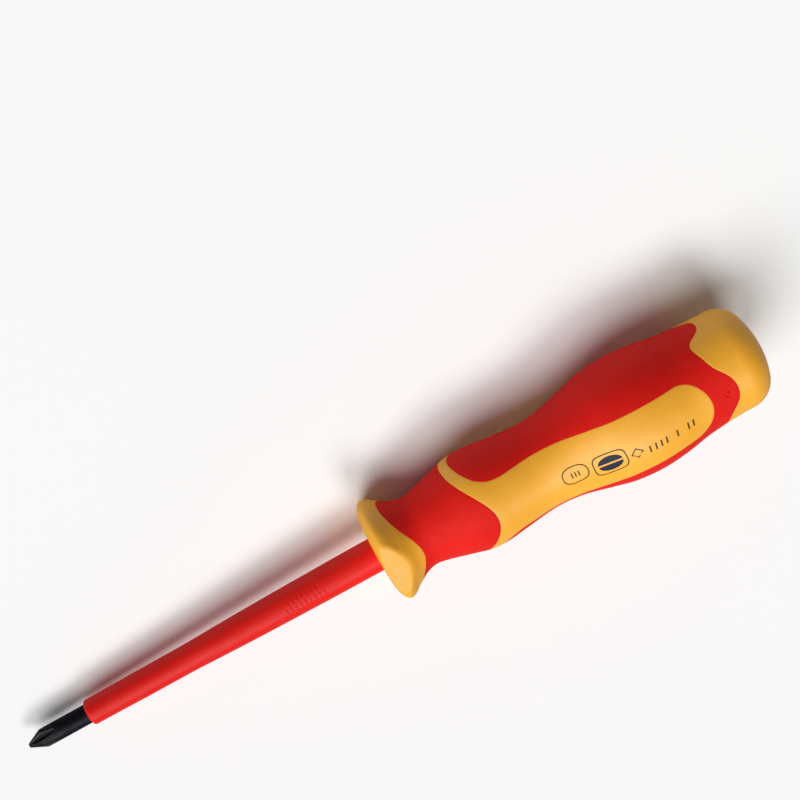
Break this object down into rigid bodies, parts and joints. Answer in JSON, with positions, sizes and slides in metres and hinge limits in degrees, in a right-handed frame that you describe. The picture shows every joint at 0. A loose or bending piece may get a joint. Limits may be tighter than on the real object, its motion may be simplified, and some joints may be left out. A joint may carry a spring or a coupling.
{
  "type": "insulated screwdriver",
  "caption": "Insulated cross-tip screwdriver: black steel blade in a tapered sleeve, and a waisted red and yellow handle with a finger guard and long side panels.",
  "frame": {"origin": "middle of the blunt end of the blade's tip", "axes": "+X along the blade's axis to the handle's end; +Z square to the guard's upper flat, out of the middle of one of the two panels; +Y completes the right-handed frame, out of the handle's side"},
  "size_m": [0.2086, 0.032, 0.032],
  "materials": {
    "black_steel": "blackened tool steel, satin",
    "red_sleeve": "moulded polyamide, satin",
    "red_grip": "soft moulded elastomer, matte with a fine texture",
    "yellow_plastic": "moulded polypropylene, satin with a fine texture",
    "core_plastic": "hard moulded core, never seen"
  },
  "bodies": {
    "root": {"blade": "black_steel", "shaft_sleeve": "red_sleeve", "handle_core": "core_plastic", "guard_ring": "yellow_plastic", "front_grip": "red_grip", "panel_yoke": "yellow_plastic", "rear_grip": "red_grip", "end_cap": "yellow_plastic"}
  },
  "joints": []
}
